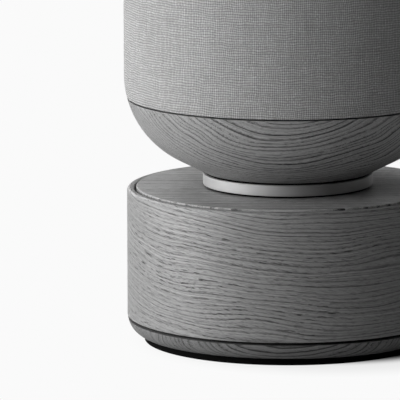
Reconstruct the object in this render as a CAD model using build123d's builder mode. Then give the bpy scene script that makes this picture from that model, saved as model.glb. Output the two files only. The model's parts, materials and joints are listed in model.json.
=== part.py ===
"""Table-top smart speaker: a fabric body on a turned oak bowl, a metal neck ring and an oak base.

All sizes are in millimetres. The origin is the centre of the foot, on the surface that it stands on.
+Z is up, the front faces -Y and the sockets face +Y.
"""

import os
from math import acos, asin, atan2, cos, degrees, hypot, pi, radians, sin, sqrt, tan
from types import SimpleNamespace

from build123d import *

os.makedirs("parts", exist_ok=True)

# Overall form
body_radius = 100.0
total_height = 380.0
base_radius = 98.4
edge_break = 0.6

# Rubber foot, set in a groove under the trim ring
foot_setback = 2.8
foot_width = 14.0
foot_height = 4.6
foot_inset = 2.0
foot_clearance = 0.2

# Oak trim ring under the base, with a bulged side
trim_height = 9.2
trim_setback = 0.4
trim_taper = 7.2
trim_bulge_radius = 13.0
trim_land = 6.0

# Tray that closes the base; its rim is the dark seam over the trim ring
tray_thickness = 1.8
tray_setback = 3.4
tray_spigot_height = 6.0
tray_spigot_wall = 3.0
tray_clearance = 0.3

# Screws that clamp the trim ring, the tray and the base shell
base_screw_count = 6
base_screw_radius = 2.0
base_screw_bite = 10.0
base_head_radius = 3.4
base_head_height = 2.6
screw_clearance = 0.2

# Oak base shell
base_height = 95.4
shell_wall = 12.0
shell_flange_land = 5.0
shell_flange_height = 12.0
rim_width = 4.1
rim_round = 1.9

# Neck casting and the oak disc that lies on it
disc_gap = 1.6
disc_thickness = 8.0
disc_drop = 0.1
casting_thickness = 3.0
casting_clearance = 0.8
neck_tube_radius = 30.0
neck_tube_wall = 5.0
neck_tube_reach = 7.5
neck_clearance = 0.3

# Visible neck ring between two dark gaskets
neck_ring_radius = 52.0
neck_ring_wall = 14.0
neck_ring_height = 6.8
neck_gasket_thickness = 1.2
neck_gasket_setback = 1.6
neck_nut_radius = 42.0
neck_nut_height = 6.0
neck_nut_notch = 6.0
neck_nut_notch_count = 4

# Oak bowl: a round belly that runs on into a straight taper
bowl_arc_radius = 57.2
bowl_bottom_radius = 51.4
bowl_wall = 10.0
bowl_floor_thickness = 8.0
bowl_height = 45.1
bowl_ledge_depth = 5.0
bowl_rim_width = 6.1
belly_rise = 59.8

# Fabric sleeve and the grille frame that it is stretched over
seam_gap = 1.0
fabric_thickness = 0.8
fabric_clearance = 0.2
top_round = 14.0
grille_wall = 2.2
grille_flange_thickness = 2.6
grille_flange_setback = 2.6
grille_flange_clearance = 0.5
slot_columns = 36
slot_rows = 5
slot_width = 12.5
slot_bridge = 5.0
slot_margin = 6.0

# Sealed driver cabinet inside the grille
cabinet_clearance = 0.3
cabinet_wall = 4.0
cabinet_lid_thickness = 4.0
cabinet_edge_margin = 1.0

# Touch plate on top, with its board and frame
top_plate_gap = 0.8
top_plate_drop = 0.6
top_plate_thickness = 3.0
top_plate_dish = 1.0
microphone_count = 6
microphone_circle = 66.0
microphone_hole_radius = 0.7
top_frame_wall = 3.6
top_frame_floor = 2.0
top_frame_height = 10.4
touch_board_thickness = 1.6
touch_board_clearance = 1.4
touch_boss_radius = 4.0
touch_boss_circle = 60.0
touch_boss_count = 4

# Cabinet that the drivers below are drawn for; they scale with the cabinet that there is
drawn_cabinet_radius = 91.6
drawn_cabinet_height = 217.4

# Woofers, back to back across the cabinet
woofer_rise = 73.4
woofer_frame_radius = 64.5
woofer_flange = 3.0
woofer_opening = 54.0
woofer_cone_radius = 49.0
woofer_lip = 3.0
woofer_ledge_radius = 39.0
woofer_ledge_width = 5.5
woofer_ledge_depth = 22.0
woofer_back_radius = 29.0
woofer_back_depth = 35.0
woofer_basket_wall = 2.5
woofer_coil_radius = 12.9
woofer_neck_depth = 17.0
woofer_coil_length = 27.0
woofer_window_count = 6
woofer_window_width = 26.0
woofer_screw_count = 4
woofer_plate_radius = 34.0
woofer_plate_thickness = 5.0
woofer_magnet_radius = 40.0
woofer_magnet_bore = 19.0
woofer_magnet_thickness = 14.0
woofer_yoke_radius = 36.0
woofer_yoke_thickness = 5.0
woofer_vent_radius = 4.0

# Full-range drivers, left and right of the front
full_range_drop = 40.0
full_range_angle = 46.0
full_range_frame_radius = 36.0
full_range_flange = 2.5
full_range_opening = 27.0
full_range_cone_radius = 23.5
full_range_lip = 2.0
full_range_ledge_radius = 20.0
full_range_ledge_width = 3.0
full_range_ledge_depth = 13.0
full_range_back_radius = 15.0
full_range_back_depth = 20.0
full_range_basket_wall = 1.8
full_range_coil_radius = 9.0
full_range_neck_depth = 9.0
full_range_coil_length = 16.0
full_range_window_count = 4
full_range_window_width = 12.0
full_range_screw_count = 4
full_range_travel = 2.5
full_range_motor_radius = 21.0
full_range_motor_depth = 14.0

# Tweeter at the front centre
tweeter_plate_radius = 26.0
tweeter_plate_thickness = 3.0
tweeter_dome_radius = 12.5
tweeter_dome_rise = 4.0
tweeter_dome_skin = 0.6
tweeter_coil_length = 5.0
tweeter_throat_clearance = 0.7
tweeter_horn_flare = 3.0
tweeter_motor_radius = 18.0
tweeter_motor_depth = 16.0
tweeter_screw_count = 3

# Shared driver details
diaphragm_skin = 0.8
former_wall = 0.7
coil_clearance = 0.6
surround_skin = 0.8
dust_dome_rise = 4.0
spider_skin = 0.8
spider_waves = 4
spider_wave_height = 1.2
driver_screw_radius = 1.5
driver_screw_angle = 45.0
driver_screw_length = 10.0
driver_head_radius = 2.6
driver_head_height = 2.2

# Rear connector panel, flat and set back in a window in the base shell
panel_height = 48.0
panel_recess = 12.4
panel_thickness = 4.0
panel_window_width = 88.0
panel_window_height = 30.0
panel_flange_margin = 5.5
panel_flange_thickness = 3.0
panel_clearance = 0.3
panel_screw_radius = 1.5
panel_screw_bite = 6.0
panel_screw_head = 2.6
panel_screw_head_height = 2.0
connector_board_thickness = 1.6
connector_board_depth = 21.0
connector_board_width = 84.0
connector_board_height = 30.0

# Sockets and controls on the panel, counted along +X from its centre
inlet_x = -27.0
inlet_width = 22.0
inlet_height = 13.0
inlet_cavity_width = 15.4
inlet_cavity_height = 8.6
inlet_cavity_depth = 12.6
inlet_pin_radius = 1.2
inlet_pin_pitch = 8.6
inlet_pin_length = 9.0
network_x = -4.0
network_width = 16.0
network_height = 14.0
network_cavity_width = 11.8
network_cavity_height = 8.0
network_cavity_depth = 13.0
network_key_width = 6.0
network_key_height = 2.0
line_in_x = 11.0
line_in_collar_radius = 4.0
line_in_collar_proud = 0.8
line_in_bore_radius = 1.8
line_in_bore_depth = 14.0
line_in_body = 9.0
button_x = 23.0
button_radius = 3.5
button_proud = 1.4
button_travel = 0.8
button_clearance = 0.3
button_flange = 1.2
switch_size = 6.0
slider_x = 36.0
slider_width = 4.5
slider_height = 3.4
slider_proud = 1.6
slider_travel = 3.0
slider_clearance = 0.3
slider_flange = 1.2

# Electronics on the tray
board_thickness = 1.6
board_clearance = 3.0
power_board_width = 86.0
standoff_radius = 4.0
standoff_height = 8.0
standoff_margin = 9.0
tall_boss_radius = 3.5
tall_boss_offset = 5.0
tall_boss_y = 20.0
amplifier_drop = 26.3
amplifier_board_margin = 4.0
amplifier_board_width = 58.0
transformer_x = -30.0
transformer_length = 34.0
transformer_width = 28.0
transformer_clearance = 8.8
transformer_core = 6.0
transformer_coil_round = 5.0
capacitor_radius = 9.0
capacitor_clearance = 4.8
capacitor_x = 24.0
capacitor_pitch = 22.0
capacitor_count = 3
heat_sink_x = -16.0
heat_sink_length = 64.0
heat_sink_width = 40.0
heat_sink_base = 4.0
heat_sink_fin = 1.6
heat_sink_fin_height = 9.0
heat_sink_fin_count = 9
harness_radius = 3.0
harness_x = 24.0
harness_lead = 9.7
harness_join = 20.3
harness_bends = [18.0, 40.0]

# Radii of the base that follow from its outside
trim_top_radius = base_radius - trim_setback
trim_bottom_radius = trim_top_radius - trim_taper
foot_radius = trim_bottom_radius - foot_setback
trim_inner_radius = foot_radius - foot_width - trim_land
tray_radius = base_radius - tray_setback
base_screw_circle = foot_radius - foot_width / 2
shell_flange_radius = base_screw_circle - shell_flange_land
panel_face = base_radius - panel_recess

# Heights that follow from the sizes above
trim_bottom = foot_height
trim_top = trim_bottom + trim_height
groove_floor = trim_bottom + foot_inset
shell_bottom = trim_top + tray_thickness
shell_flange_top = shell_bottom + shell_flange_height
shell_inner_radius = base_radius - shell_wall
rebate_radius = base_radius - rim_width
disc_radius = rebate_radius - disc_gap
disc_top = base_height - disc_drop
disc_bottom = disc_top - disc_thickness
shell_ledge = disc_bottom - casting_thickness
neck_ring_bottom = disc_top + neck_gasket_thickness
neck_ring_top = neck_ring_bottom + neck_ring_height
bowl_bottom = neck_ring_top + neck_gasket_thickness
bowl_floor = bowl_bottom + bowl_floor_thickness
bowl_top = bowl_bottom + bowl_height
bowl_ledge = bowl_top - bowl_ledge_depth
belly_height = bowl_bottom + belly_rise
belly_centre = (body_radius - bowl_arc_radius, belly_height)
neck_hole_radius = neck_tube_radius + neck_clearance
sleeve_bottom = bowl_top + seam_gap
top_plate_top = total_height - top_plate_drop
top_plate_bottom = top_plate_top - top_plate_thickness
top_frame_bottom = top_plate_bottom - top_frame_height
cabinet_top = top_frame_bottom - cabinet_lid_thickness
power_board_bottom = shell_bottom + standoff_height
power_board_top = power_board_bottom + board_thickness
amplifier_bottom = shell_ledge - amplifier_drop
amplifier_top = amplifier_bottom + board_thickness
board_space = amplifier_bottom - power_board_top

# Boards that fill the tray, and the posts under them
power_board_reach = shell_flange_radius - board_clearance
power_board_length = 2 * sqrt(power_board_reach**2 - (power_board_width / 2) ** 2)
standoff_x = power_board_length / 2 - standoff_margin
standoff_y = power_board_width / 2 - standoff_margin
tall_boss_x = power_board_length / 2 + tall_boss_offset
amplifier_board_length = 2 * (tall_boss_x + amplifier_board_margin)


def write(built, name):
    """Label a finished piece and write its STEP file."""
    built.part.label = name
    export_step(built.part, f"parts/{name}.step")


def belly_radius(height, inset=0.0):
    """Radius of the bowl's round belly at a height, moved inwards by an inset."""
    return belly_centre[0] + sqrt((bowl_arc_radius - inset) ** 2 - (belly_height - height) ** 2)


def belly_angle(height, inset=0.0):
    """Angle of a belly point about the belly's centre, in degrees below the horizontal."""
    return -degrees(asin((belly_height - height) / (bowl_arc_radius - inset)))


# Rubber foot
with BuildPart() as foot_ring:
    with BuildSketch(Plane.XY):
        Circle(foot_radius)
        Circle(foot_radius - foot_width, mode=Mode.SUBTRACT)
    extrude(amount=foot_height + foot_inset)
    fillet(foot_ring.faces().sort_by(Axis.Z)[0].edges(), edge_break)
write(foot_ring, "foot_ring")

# Oak trim ring, with the foot's groove and its screw holes inside that groove
with BuildPart() as trim_ring:
    with BuildSketch(Plane.XZ):
        with BuildLine():
            trim_floor = Line((trim_inner_radius, trim_bottom), (trim_bottom_radius, trim_bottom))
            trim_bulge = RadiusArc(trim_floor @ 1, (trim_top_radius, trim_top), -trim_bulge_radius)
            trim_roof = Line(trim_bulge @ 1, (trim_inner_radius, trim_top))
            Line(trim_roof @ 1, trim_floor @ 0)
        make_face()
    revolve(axis=Axis.Z)
    with BuildSketch(Plane.XY.offset(trim_bottom)):
        Circle(foot_radius + foot_clearance)
        Circle(foot_radius - foot_width - foot_clearance, mode=Mode.SUBTRACT)
    extrude(amount=foot_inset, mode=Mode.SUBTRACT)
    with Locations(Plane(origin=(0, 0, groove_floor), z_dir=(0, 0, -1))):
        with PolarLocations(base_screw_circle, base_screw_count):
            CounterBoreHole(
                radius=base_screw_radius + screw_clearance,
                counter_bore_radius=base_head_radius + screw_clearance,
                counter_bore_depth=base_head_height,
            )
write(trim_ring, "trim_ring")

# Tray: rim plate, locating spigot, board standoffs and the screws' holes
with BuildPart() as base_tray:
    with BuildSketch(Plane.XY.offset(trim_top)):
        Circle(tray_radius)
    extrude(amount=tray_thickness)
    spigot_radius = shell_flange_radius - tray_clearance
    with BuildSketch(Plane.XY.offset(shell_bottom)):
        Circle(spigot_radius)
        Circle(spigot_radius - tray_spigot_wall, mode=Mode.SUBTRACT)
    extrude(amount=tray_spigot_height)
    with BuildSketch(Plane.XY.offset(shell_bottom)):
        with GridLocations(2 * standoff_x, 2 * standoff_y, 2, 2):
            Circle(standoff_radius)
    extrude(amount=standoff_height)
    with BuildSketch(Plane.XY.offset(shell_bottom)):
        with GridLocations(2 * tall_boss_x, 2 * tall_boss_y, 2, 2):
            Circle(tall_boss_radius)
    extrude(amount=amplifier_bottom - shell_bottom)
    with BuildSketch(Plane.XY.offset(trim_top)):
        with PolarLocations(base_screw_circle, base_screw_count):
            Circle(base_screw_radius + screw_clearance)
    extrude(amount=tray_thickness, mode=Mode.SUBTRACT)
write(base_tray, "base_tray")

# Screws up through the trim ring and the tray into the base shell
with BuildPart() as base_screws:
    with BuildSketch(Plane.XY.offset(groove_floor)):
        with PolarLocations(base_screw_circle, base_screw_count):
            Circle(base_head_radius)
    extrude(amount=base_head_height)
    with BuildSketch(Plane.XY.offset(groove_floor + base_head_height)):
        with PolarLocations(base_screw_circle, base_screw_count):
            Circle(base_screw_radius)
    extrude(amount=shell_bottom + base_screw_bite - groove_floor - base_head_height)
write(base_screws, "base_screws")

# Oak base shell: turned wall with a foot flange, a rebate for the disc and a window at the back
rear_plane = Plane(origin=(0, 0, panel_height), x_dir=(-1, 0, 0), z_dir=(0, 1, 0))
panel_seat = panel_face - panel_thickness
panel_back = panel_seat - panel_flange_thickness
flange_width = panel_window_width + 2 * panel_flange_margin
flange_height = panel_window_height + 2 * panel_flange_margin
panel_screw_width = panel_window_width - panel_window_height
panel_screw_height = panel_window_height + panel_flange_margin
panel_screw_spots = GridLocations(panel_screw_width, panel_screw_height, 2, 2).local_locations
with BuildPart() as base_shell:
    with BuildSketch(Plane.XZ):
        with BuildLine():
            Polyline(
                (shell_flange_radius, shell_bottom),
                (base_radius, shell_bottom),
                (base_radius, base_height),
                (rebate_radius, base_height),
                (rebate_radius, shell_ledge),
                (shell_inner_radius, shell_ledge),
                (shell_inner_radius, shell_flange_top),
                (shell_flange_radius, shell_flange_top),
                close=True,
            )
        make_face()
    revolve(axis=Axis.Z)
    rim_edges = base_shell.faces().sort_by(Axis.Z)[-1].edges().sort_by(SortBy.RADIUS)
    fillet(rim_edges[-1], rim_round)
    fillet(base_shell.faces().sort_by(Axis.Z)[-1].edges().sort_by(SortBy.RADIUS)[0], edge_break)
    fillet(base_shell.faces().sort_by(Axis.Z)[0].edges().sort_by(SortBy.RADIUS)[-1], edge_break)
    with BuildSketch(rear_plane.offset(panel_seat / 2)):
        SlotOverall(panel_window_width, panel_window_height)
    extrude(amount=base_radius, mode=Mode.SUBTRACT)
    with BuildSketch(rear_plane.offset(panel_seat / 2)):
        SlotOverall(flange_width + 2 * panel_clearance, flange_height + 2 * panel_clearance)
    extrude(amount=panel_seat / 2, mode=Mode.SUBTRACT)
    with BuildSketch(rear_plane.offset(panel_seat)):
        with Locations(*panel_screw_spots):
            Circle(panel_screw_radius + screw_clearance)
    extrude(amount=panel_screw_bite, mode=Mode.SUBTRACT)
    with BuildSketch(Plane.XY.offset(shell_bottom)):
        with PolarLocations(base_screw_circle, base_screw_count):
            Circle(base_screw_radius + screw_clearance)
    extrude(amount=base_screw_bite, mode=Mode.SUBTRACT)
write(base_shell, "base_shell")

# Neck casting: a plate on the shell's ledge with a hollow neck that carries the upper body
neck_tube_top = bowl_floor + neck_tube_reach
with BuildPart() as neck_casting:
    with BuildSketch(Plane.XY.offset(shell_ledge)):
        Circle(rebate_radius - casting_clearance)
    extrude(amount=casting_thickness)
    with BuildSketch(Plane.XY.offset(disc_bottom)):
        Circle(neck_tube_radius)
    extrude(amount=neck_tube_top - disc_bottom)
    with BuildSketch(Plane.XY.offset(shell_ledge)):
        Circle(neck_tube_radius - neck_tube_wall)
    extrude(amount=neck_tube_top - shell_ledge, mode=Mode.SUBTRACT)
write(neck_casting, "neck_casting")

# Oak disc on the casting, with a dark groove around it
with BuildPart() as base_top_disc:
    with BuildSketch(Plane.XY.offset(disc_bottom)):
        Circle(disc_radius)
        Circle(neck_hole_radius, mode=Mode.SUBTRACT)
    extrude(amount=disc_thickness)
    fillet(base_top_disc.faces().sort_by(Axis.Z)[-1].edges().sort_by(SortBy.RADIUS)[-1], edge_break)
write(base_top_disc, "base_top_disc")

# Gaskets below and above the neck ring
neck_inner_radius = neck_ring_radius - neck_ring_wall
for gasket_name, gasket_height in (
    ("lower_neck_gasket", disc_top),
    ("upper_neck_gasket", neck_ring_top),
):
    with BuildPart() as neck_gasket:
        with BuildSketch(Plane.XY.offset(gasket_height)):
            Circle(neck_ring_radius - neck_gasket_setback)
            Circle(neck_inner_radius, mode=Mode.SUBTRACT)
        extrude(amount=neck_gasket_thickness)
    write(neck_gasket, gasket_name)

# Metal neck ring
with BuildPart() as neck_ring:
    with BuildSketch(Plane.XY.offset(neck_ring_bottom)):
        Circle(neck_ring_radius)
        Circle(neck_inner_radius, mode=Mode.SUBTRACT)
    extrude(amount=neck_ring_height)
    neck_ring_edges = neck_ring.edges().filter_by(GeomType.CIRCLE).group_by(SortBy.RADIUS)[-1]
    chamfer(neck_ring_edges, edge_break / 2)
write(neck_ring, "neck_ring")

# Oak bowl: the taper touches the belly's arc at a tangent
reach_r = bowl_bottom_radius - belly_centre[0]
reach_z = bowl_bottom - belly_height
tangent_angle = degrees(atan2(reach_z, reach_r) + acos(bowl_arc_radius / hypot(reach_r, reach_z)))
tangent_slope = tan(radians(90 + tangent_angle))


def belly_point(angle, inset=0.0):
    """Point on the belly's arc, moved inwards by an inset, at an angle about its centre."""
    reach = bowl_arc_radius - inset
    return (
        belly_centre[0] + reach * cos(radians(angle)),
        belly_centre[1] + reach * sin(radians(angle)),
    )


inner_tangent = belly_point(tangent_angle, bowl_wall)
bowl_floor_radius = inner_tangent[0] - (inner_tangent[1] - bowl_floor) / tangent_slope
bowl_rim_radius = belly_radius(bowl_top) - bowl_rim_width
with BuildPart() as oak_bowl:
    with BuildSketch(Plane.XZ):
        with BuildLine():
            taper = Line((bowl_bottom_radius, bowl_bottom), belly_point(tangent_angle))
            belly = CenterArc(
                belly_centre, bowl_arc_radius, tangent_angle, belly_angle(bowl_top) - tangent_angle
            )
            Polyline(
                belly @ 1,
                (bowl_rim_radius, bowl_top),
                (bowl_rim_radius, bowl_ledge),
                (belly_radius(bowl_ledge, bowl_wall), bowl_ledge),
            )
            inner_start = belly_angle(bowl_ledge, bowl_wall)
            inner_belly = CenterArc(
                belly_centre, bowl_arc_radius - bowl_wall, inner_start, tangent_angle - inner_start
            )
            Polyline(
                inner_belly @ 1,
                (bowl_floor_radius, bowl_floor),
                (neck_hole_radius, bowl_floor),
                (neck_hole_radius, bowl_bottom),
                taper @ 0,
            )
        make_face()
    revolve(axis=Axis.Z)
write(oak_bowl, "oak_bowl")

# Ring nut that clamps the bowl on the neck
with BuildPart() as neck_nut:
    with BuildSketch(Plane.XY.offset(bowl_floor)):
        Circle(neck_nut_radius)
        Circle(neck_hole_radius, mode=Mode.SUBTRACT)
        with PolarLocations(neck_nut_radius, neck_nut_notch_count):
            Rectangle(neck_nut_notch, neck_nut_notch, mode=Mode.SUBTRACT)
    extrude(amount=neck_nut_height)
write(neck_nut, "neck_nut")


def sleeve_outline(inset, bottom):
    """Draw the upper body's side from a bottom height to the top edge, moved inwards by an inset.

    The side is the belly's arc, a straight wall and the rounded top edge. Returns its two ends.
    """
    start = belly_angle(bottom, inset)
    lower = CenterArc(belly_centre, bowl_arc_radius - inset, start, -start)
    shoulder = (body_radius - top_round, total_height - top_round)
    side = Line(lower @ 1, (body_radius - inset, shoulder[1]))
    upper = CenterArc(shoulder, top_round - inset, 0, 90)
    assert (side @ 1 - upper @ 0).length < 1e-6
    return lower @ 0, upper @ 1


# Woven sleeve over the upper body
with BuildPart() as fabric_sleeve:
    with BuildSketch(Plane.XZ):
        with BuildLine():
            outside_low, outside_high = sleeve_outline(0.0, sleeve_bottom)
            inside_low, inside_high = sleeve_outline(fabric_thickness, sleeve_bottom)
            Line(outside_low, inside_low)
            Line(outside_high, inside_high)
        make_face()
    revolve(axis=Axis.Z)
write(fabric_sleeve, "fabric_sleeve")

# Slotted grille frame; its dark flange on the bowl is the seam under the fabric
grille_inner_radius = bowl_rim_radius + grille_flange_clearance
grille_flange_radius = belly_radius(bowl_top) - grille_flange_setback
grille_flange_top = bowl_top + grille_flange_thickness
grille_inset = fabric_thickness + fabric_clearance
slot_low = belly_height + slot_margin
slot_high = total_height - top_round - slot_margin
slot_height = (slot_high - slot_low - (slot_rows - 1) * slot_bridge) / slot_rows
with BuildPart() as grille_frame:
    with BuildSketch(Plane.XZ):
        with BuildLine():
            face_low, face_high = sleeve_outline(grille_inset, sleeve_bottom)
            back_low, back_high = sleeve_outline(grille_inset + grille_wall, grille_flange_top)
            Line(face_high, back_high)
            Polyline(
                back_low,
                (grille_inner_radius, grille_flange_top),
                (grille_inner_radius, bowl_top),
                (grille_flange_radius, bowl_top),
                (grille_flange_radius, sleeve_bottom),
                face_low,
            )
        make_face()
    revolve(axis=Axis.Z)
    for row in range(slot_rows):
        slot_middle = slot_low + slot_height / 2 + row * (slot_height + slot_bridge)
        with Locations((0, 0, slot_middle)):
            with PolarLocations(body_radius, slot_columns):
                Box(4 * grille_wall, slot_width, slot_height, mode=Mode.SUBTRACT)
write(grille_frame, "grille_frame")


def driver_seat(angle, height, frame_radius):
    """Where a driver sits: its flat on the cabinet, as planes across and along its axis.

    The angle is counted from the front towards +X. The face plane looks outwards, and the section
    plane holds the axis as its local Y with the radius as its local X.
    """
    outward = Vector(sin(radians(angle)), -cos(radians(angle)), 0)
    flat_half = frame_radius + cabinet_edge_margin
    distance = sqrt(cabinet_radius**2 - flat_half**2)
    origin = outward * distance + Vector(0, 0, height)
    return SimpleNamespace(
        face=Plane(origin=origin, x_dir=(0, 0, 1), z_dir=outward),
        section=Plane(origin=origin, x_dir=(0, 0, 1), z_dir=Vector(0, 0, 1).cross(outward)),
        axis=Axis(origin, outward),
        flat_half=flat_half,
    )


cabinet_radius = bowl_rim_radius - cabinet_clearance
cabinet_height = cabinet_top - bowl_ledge
driver_scale = min(cabinet_radius / drawn_cabinet_radius, cabinet_height / drawn_cabinet_height)


def driver_sizes(**drawn):
    """A driver's sizes, from those that it is drawn with, at the scale of its cabinet."""
    return SimpleNamespace(**{name: size * driver_scale for name, size in drawn.items()})


woofer = driver_sizes(
    rise=woofer_rise,
    frame_radius=woofer_frame_radius,
    flange=woofer_flange,
    opening=woofer_opening,
    cone_radius=woofer_cone_radius,
    lip=woofer_lip,
    ledge_radius=woofer_ledge_radius,
    ledge_width=woofer_ledge_width,
    ledge_depth=woofer_ledge_depth,
    back_radius=woofer_back_radius,
    back_depth=woofer_back_depth,
    basket_wall=woofer_basket_wall,
    coil_radius=woofer_coil_radius,
    coil_length=woofer_coil_length,
    neck_depth=woofer_neck_depth,
    window_width=woofer_window_width,
    plate_radius=woofer_plate_radius,
    plate_thickness=woofer_plate_thickness,
    magnet_radius=woofer_magnet_radius,
    magnet_bore=woofer_magnet_bore,
    magnet_thickness=woofer_magnet_thickness,
    yoke_radius=woofer_yoke_radius,
    yoke_thickness=woofer_yoke_thickness,
    vent_radius=woofer_vent_radius,
)
woofer.window_count = woofer_window_count
woofer.screw_count = woofer_screw_count
woofer.hole = woofer.opening + woofer.basket_wall + coil_clearance
woofer.screw_circle = (woofer.frame_radius + woofer.hole) / 2
full_range = driver_sizes(
    drop=full_range_drop,
    frame_radius=full_range_frame_radius,
    flange=full_range_flange,
    opening=full_range_opening,
    cone_radius=full_range_cone_radius,
    lip=full_range_lip,
    ledge_radius=full_range_ledge_radius,
    ledge_width=full_range_ledge_width,
    ledge_depth=full_range_ledge_depth,
    back_radius=full_range_back_radius,
    back_depth=full_range_back_depth,
    basket_wall=full_range_basket_wall,
    coil_radius=full_range_coil_radius,
    coil_length=full_range_coil_length,
    neck_depth=full_range_neck_depth,
    window_width=full_range_window_width,
    travel=full_range_travel,
    motor_radius=full_range_motor_radius,
    motor_depth=full_range_motor_depth,
)
full_range.window_count = full_range_window_count
full_range.screw_count = full_range_screw_count
full_range.hole = full_range.opening + full_range.basket_wall + coil_clearance
full_range.screw_circle = (full_range.frame_radius + full_range.hole) / 2
full_range.motor_front = full_range.flange - full_range.back_depth - full_range.basket_wall
full_range.coil_reach = full_range.neck_depth + full_range.coil_length + full_range.travel
full_range.gap_depth = full_range.coil_reach + coil_clearance - full_range.back_depth
tweeter = driver_sizes(
    frame_radius=tweeter_plate_radius,
    flange=tweeter_plate_thickness,
    coil_radius=tweeter_dome_radius,
    coil_length=tweeter_coil_length,
    dome_rise=tweeter_dome_rise,
    horn_flare=tweeter_horn_flare,
    motor_radius=tweeter_motor_radius,
    motor_depth=tweeter_motor_depth,
)
tweeter.screw_count = tweeter_screw_count
tweeter.hole = tweeter.motor_radius + coil_clearance
tweeter.screw_circle = (tweeter.frame_radius + tweeter.hole) / 2
tweeter.motor_front = 0.0
tweeter.gap_depth = tweeter.coil_length + coil_clearance
driver_screw = driver_sizes(
    radius=driver_screw_radius,
    length=driver_screw_length,
    head_radius=driver_head_radius,
    head_height=driver_head_height,
)
woofer_height = bowl_ledge + woofer.rise
full_range_height = cabinet_top - full_range.drop
woofer_seats = {
    "left_woofer": driver_seat(-90, woofer_height, woofer.frame_radius),
    "right_woofer": driver_seat(90, woofer_height, woofer.frame_radius),
}
full_range_seats = {
    "left_full_range": driver_seat(-full_range_angle, full_range_height, full_range.frame_radius),
    "right_full_range": driver_seat(full_range_angle, full_range_height, full_range.frame_radius),
}
tweeter_seat = driver_seat(0, full_range_height, tweeter.frame_radius)
mountings = (
    [(seat, woofer) for seat in woofer_seats.values()]
    + [(seat, full_range) for seat in full_range_seats.values()]
    + [(tweeter_seat, tweeter)]
)


def cabinet_form(inset):
    """The cabinet's outer form, a cylinder with a flat for each driver, moved inwards by an inset."""
    with BuildPart() as form:
        with BuildSketch(Plane.XY.offset(bowl_ledge + inset)):
            Circle(cabinet_radius - inset)
        extrude(amount=cabinet_top - bowl_ledge - inset)
        for seat, _ in mountings:
            with BuildSketch(seat.face.offset(-inset)):
                Rectangle(2 * (seat.flat_half + inset), 2 * (seat.flat_half + inset))
            extrude(amount=cabinet_radius, mode=Mode.SUBTRACT)
    return form.part


# Moulded cabinet: hollow, open at the top, with a seat and screw holes for every driver
cabinet_cavity = cabinet_form(cabinet_wall)
with BuildPart() as cabinet:
    add(cabinet_form(0.0))
    add(cabinet_cavity, mode=Mode.SUBTRACT)
    for seat, size in mountings:
        with BuildSketch(seat.face):
            Circle(size.hole)
            with PolarLocations(size.screw_circle, size.screw_count, start_angle=driver_screw_angle):
                Circle(driver_screw.radius + screw_clearance)
        extrude(amount=-2 * cabinet_wall, mode=Mode.SUBTRACT)
    with BuildSketch(Plane.XY.offset(bowl_ledge)):
        Circle(harness_radius + screw_clearance)
    extrude(amount=cabinet_wall, mode=Mode.SUBTRACT)
write(cabinet, "cabinet")

# Lid of the cabinet
with BuildPart() as cabinet_lid:
    with BuildSketch(Plane.XY.offset(cabinet_top)):
        Circle(cabinet_radius)
    extrude(amount=cabinet_lid_thickness)
write(cabinet_lid, "cabinet_lid")


def build_frame(name, seat, size):
    """Basket of a cone driver: screw flange, windowed cone wall, spider ledge and back plate."""
    wall = size.basket_wall
    coil_hole = size.coil_radius + coil_clearance
    window_low = size.flange - size.ledge_depth + wall
    with BuildPart() as frame:
        with BuildSketch(seat.section):
            with BuildLine():
                Polyline(
                    (size.frame_radius, 0),
                    (size.frame_radius, size.flange),
                    (size.opening, size.flange),
                    (size.ledge_radius, size.flange - size.ledge_depth),
                    (size.ledge_radius - size.ledge_width, size.flange - size.ledge_depth),
                    (size.back_radius, size.flange - size.back_depth),
                    (coil_hole, size.flange - size.back_depth),
                    (coil_hole, size.flange - size.back_depth - wall),
                    (size.back_radius + wall, size.flange - size.back_depth - wall),
                    (size.ledge_radius - size.ledge_width + wall, size.flange - size.ledge_depth - wall),
                    (size.ledge_radius + wall, size.flange - size.ledge_depth - wall),
                    (size.opening + wall, 0),
                    close=True,
                )
            make_face()
        revolve(axis=seat.axis)
        with BuildSketch(seat.face.offset(window_low)):
            with PolarLocations((size.ledge_radius + size.opening) / 2, size.window_count):
                Rectangle(size.frame_radius - size.ledge_radius, size.window_width)
        extrude(amount=-window_low - wall, mode=Mode.SUBTRACT)
        with BuildSketch(seat.face):
            with PolarLocations(size.screw_circle, size.screw_count, start_angle=driver_screw_angle):
                Circle(driver_screw.radius + screw_clearance)
        extrude(amount=size.flange, mode=Mode.SUBTRACT)
    write(frame, f"{name}_frame")


def dome_arc(edge_radius, edge_height, rise, inset=0.0):
    """Draw a round dome from its edge to the driver's axis, moved inwards by an inset."""
    arc_radius = (edge_radius**2 + rise**2) / (2 * rise)
    half_angle = degrees(asin(edge_radius / arc_radius))
    return CenterArc(
        (0, edge_height + rise - arc_radius), arc_radius - inset, 90 - half_angle, half_angle
    )


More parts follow.
